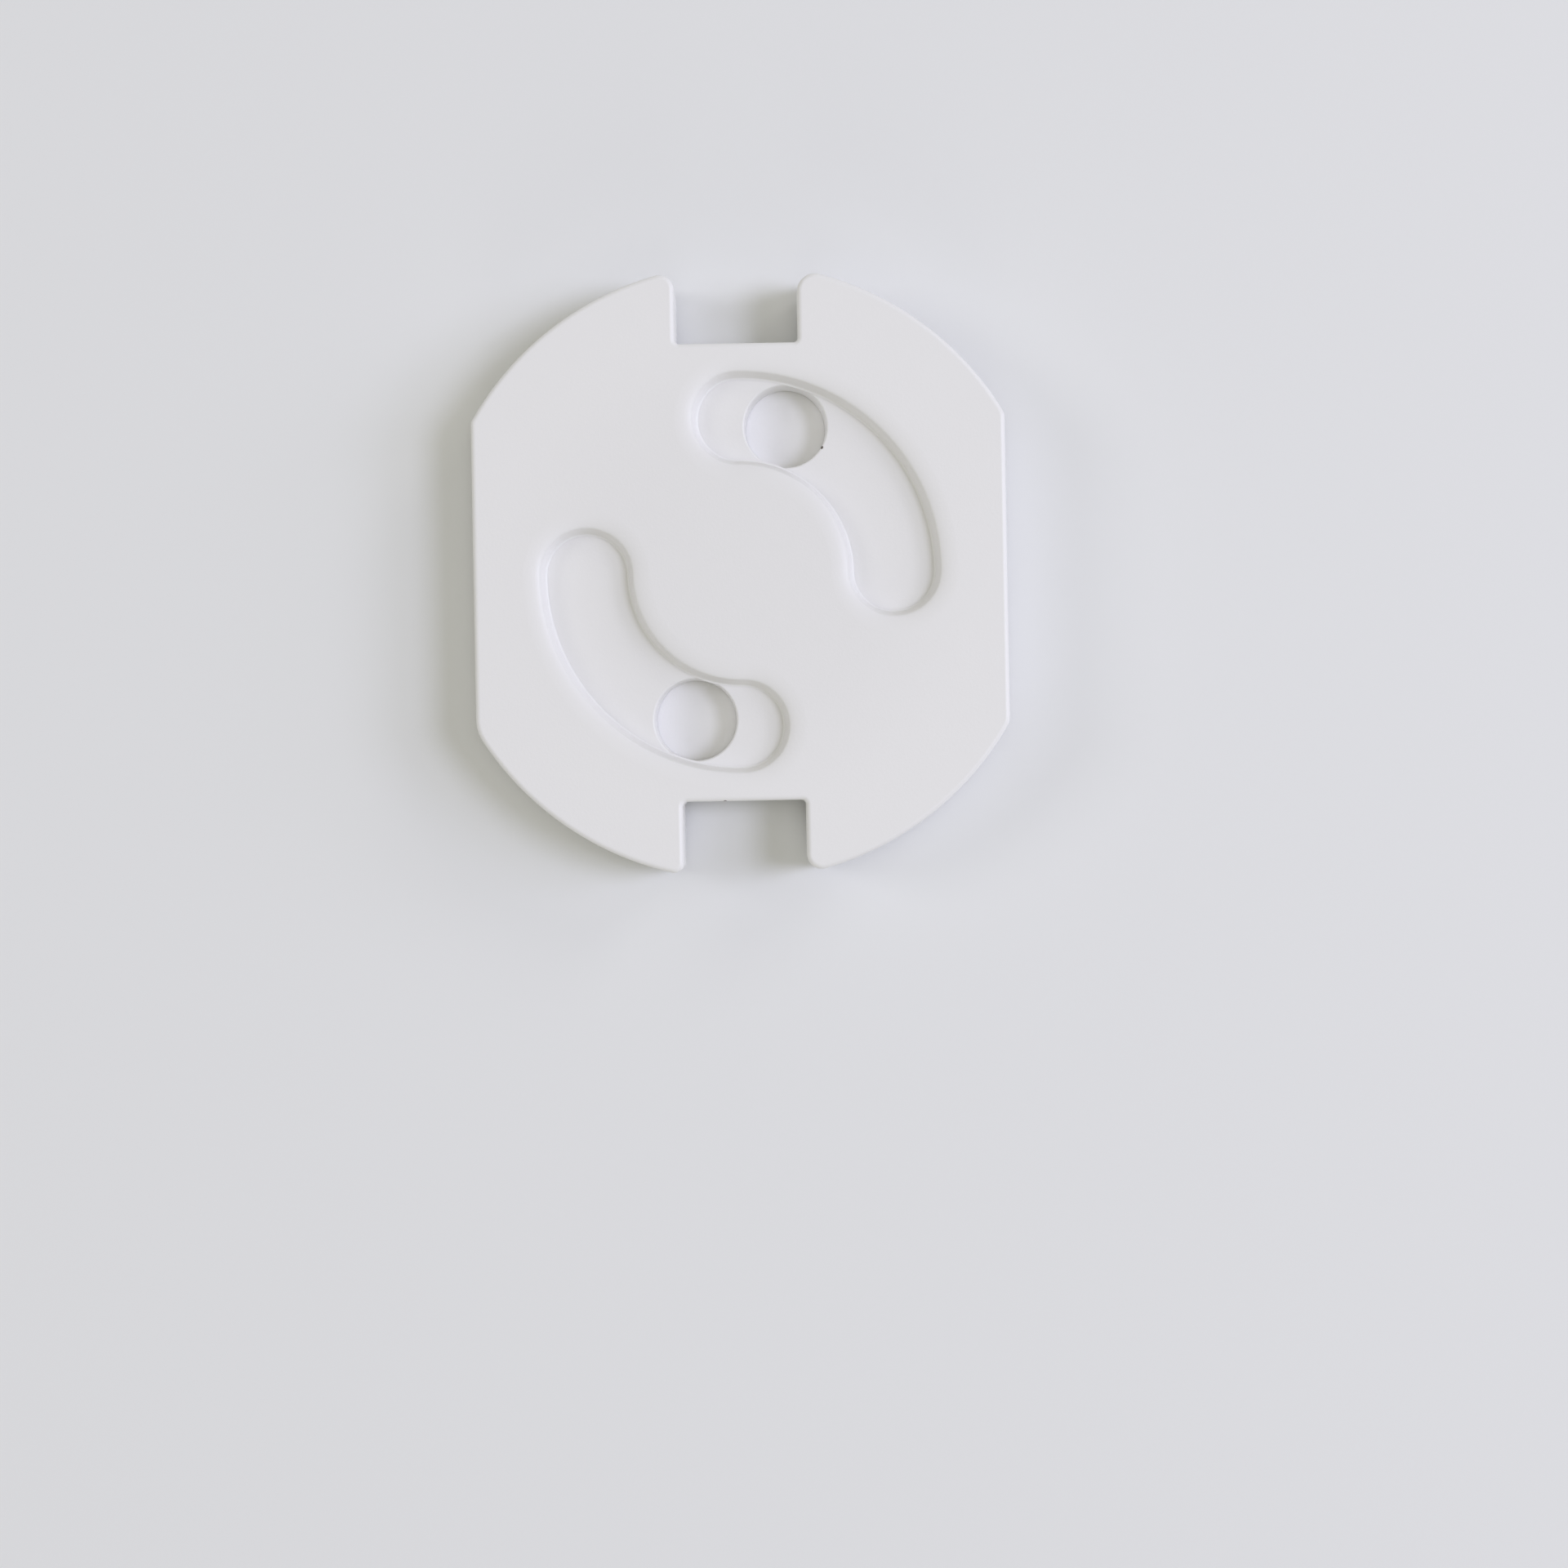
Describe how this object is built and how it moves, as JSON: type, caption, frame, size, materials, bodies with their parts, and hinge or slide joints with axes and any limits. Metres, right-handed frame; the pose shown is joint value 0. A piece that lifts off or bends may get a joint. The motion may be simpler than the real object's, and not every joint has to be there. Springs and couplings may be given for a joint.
{
  "type": "outlet safety cover",
  "caption": "Round stick-on socket cover with flats and notches, curved slots and a turning shutter disc behind them that hides the contacts until a plug turns it.",
  "frame": {"origin": "centre of the plane that the adhesive pads rest on, on the disc's axis", "axes": "+Z out of the front face, +Y towards the notch that is uppermost in use, +X to the right seen from the front"},
  "size_m": [0.033, 0.037, 0.0052],
  "materials": {
    "shell_plastic": "satin moulded white",
    "shutter_plastic": "satin moulded white",
    "plate_plastic": "plain moulded white",
    "pad_foam": "white foam tape"
  },
  "bodies": {
    "housing": {"face_shell": "shell_plastic", "back_plate": "plate_plastic", "adhesive_pad_upper": "pad_foam", "adhesive_pad_lower": "pad_foam"},
    "shutter": {"shutter_disc": "shutter_plastic"}
  },
  "joints": [
    {"name": "shutter_turn", "type": "hinge", "parent": "housing", "child": "shutter", "pos_m": [0, 0, 0.0026], "axis": [0, 0, 1], "range_deg": [-72, 18]}
  ]
}
